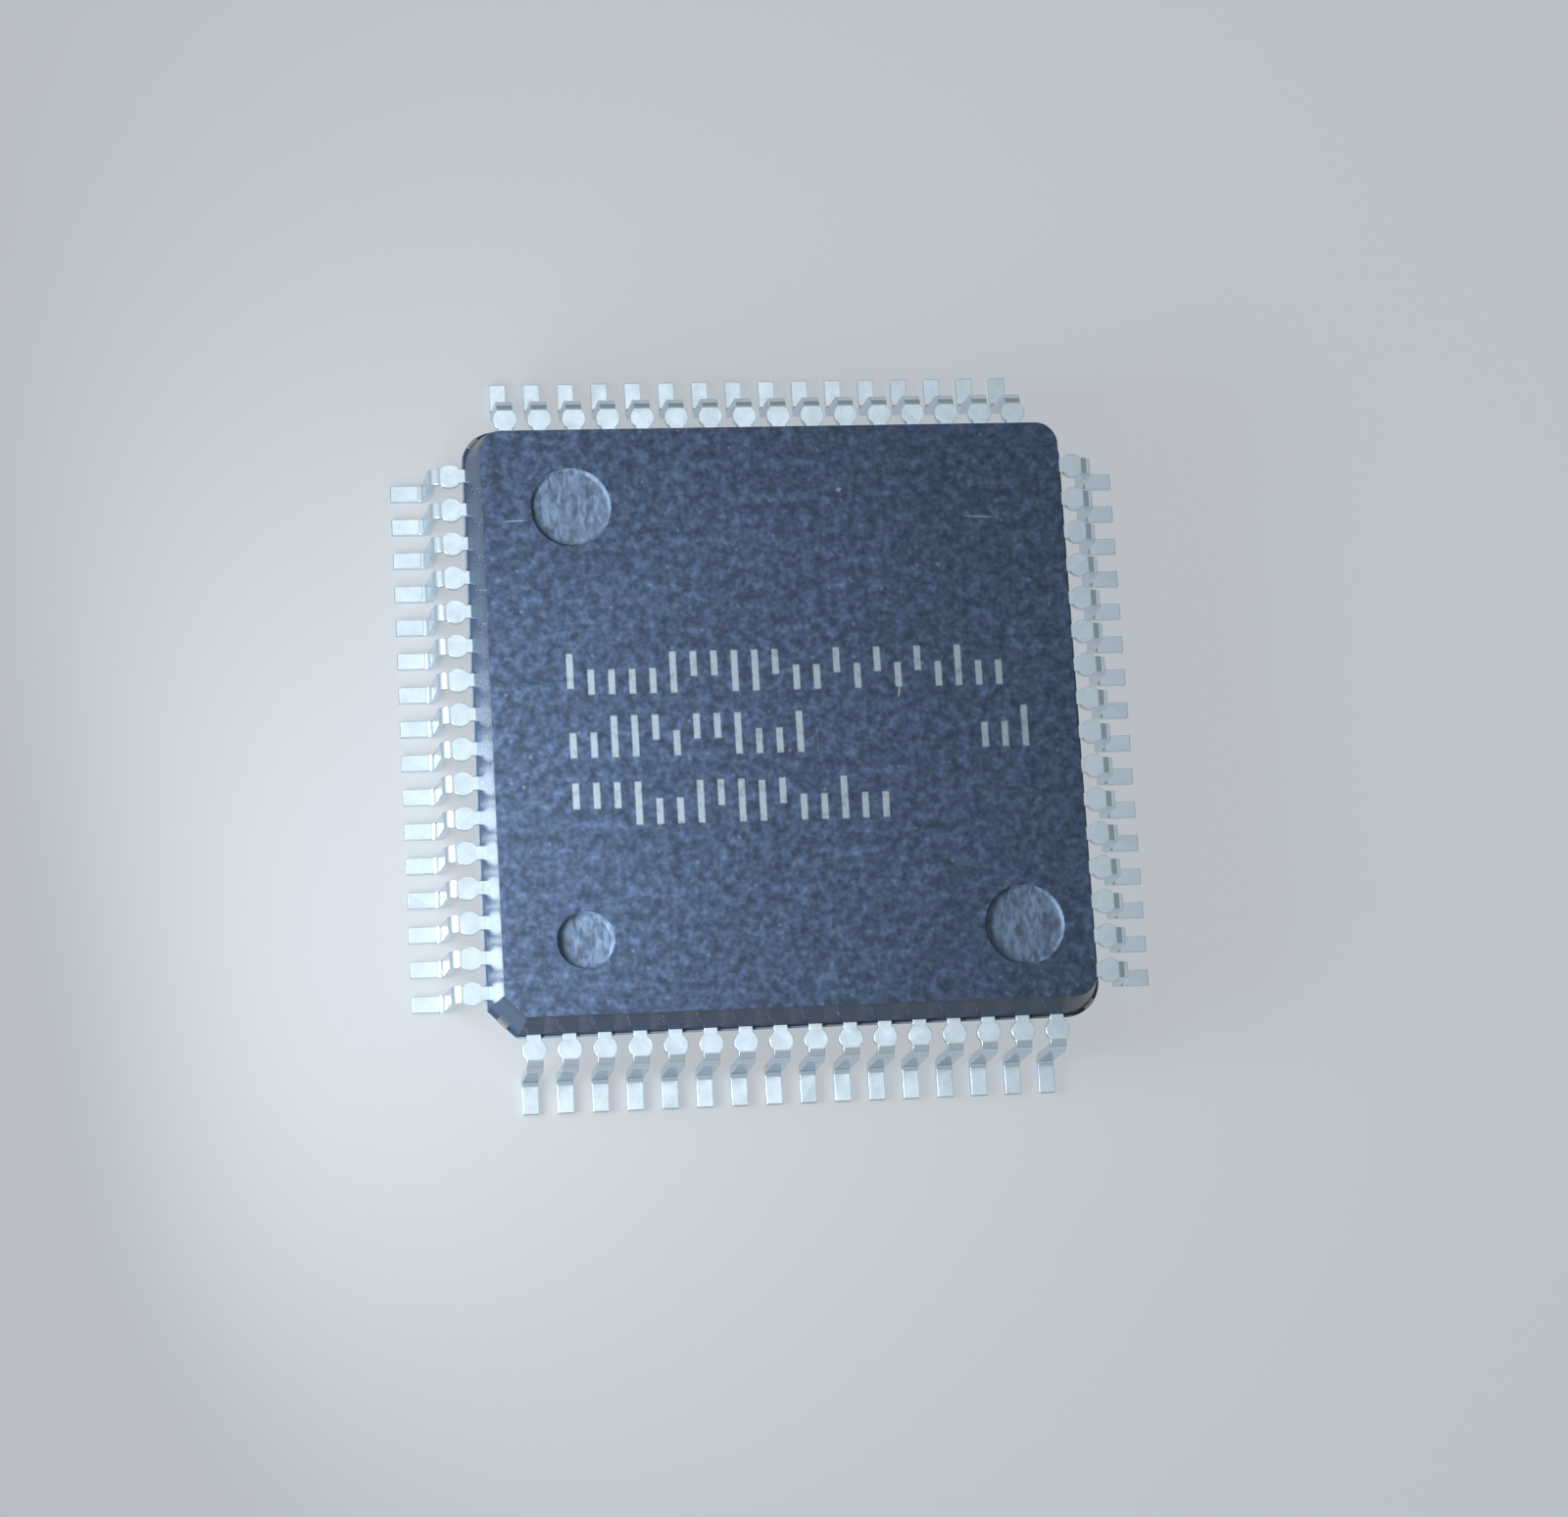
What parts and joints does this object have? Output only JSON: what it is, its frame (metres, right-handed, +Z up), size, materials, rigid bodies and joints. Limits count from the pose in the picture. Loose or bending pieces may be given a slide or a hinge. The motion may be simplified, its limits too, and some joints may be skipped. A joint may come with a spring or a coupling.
{
  "type": "quad flat pack chip",
  "caption": "Square surface-mount integrated circuit: moulded body with a chamfered pin 1 corner, round ejector and index marks, and gull-wing leads on all four sides.",
  "frame": {"origin": "on the seating plane under the middle of the body, level with the undersides of the feet", "axes": "+Z up through the body, -X -Y towards the chamfered pin 1 corner, X and Y along the rows of leads"},
  "size_m": [0.0172, 0.0172, 0.0029],
  "materials": {
    "mould": "fine-grained matte epoxy",
    "tin": "satin tin plate",
    "leadframe": "satin nickel-iron alloy",
    "attach": "cured silver epoxy",
    "silicon": "polished",
    "gold": "drawn gold wire"
  },
  "bodies": {
    "root": {"mould_body": "mould", "die_pad": "leadframe", "die_attach": "attach", "die": "silicon", "leads_front_1": "tin", "leads_front_2": "tin", "leads_front_3": "tin", "leads_front_4": "tin", "leads_right_1": "tin", "leads_right_2": "tin", "leads_right_3": "tin", "leads_right_4": "tin", "leads_rear_1": "tin", "leads_rear_2": "tin", "leads_rear_3": "tin", "leads_rear_4": "tin", "leads_left_1": "tin", "leads_left_2": "tin", "leads_left_3": "tin", "leads_left_4": "tin", "wires_front_1": "gold", "wires_front_2": "gold", "wires_front_3": "gold", "wires_front_4": "gold", "wires_right_1": "gold", "wires_right_2": "gold", "wires_right_3": "gold", "wires_right_4": "gold", "wires_rear_1": "gold", "wires_rear_2": "gold", "wires_rear_3": "gold", "wires_rear_4": "gold", "wires_left_1": "gold", "wires_left_2": "gold", "wires_left_3": "gold", "wires_left_4": "gold"}
  },
  "joints": []
}
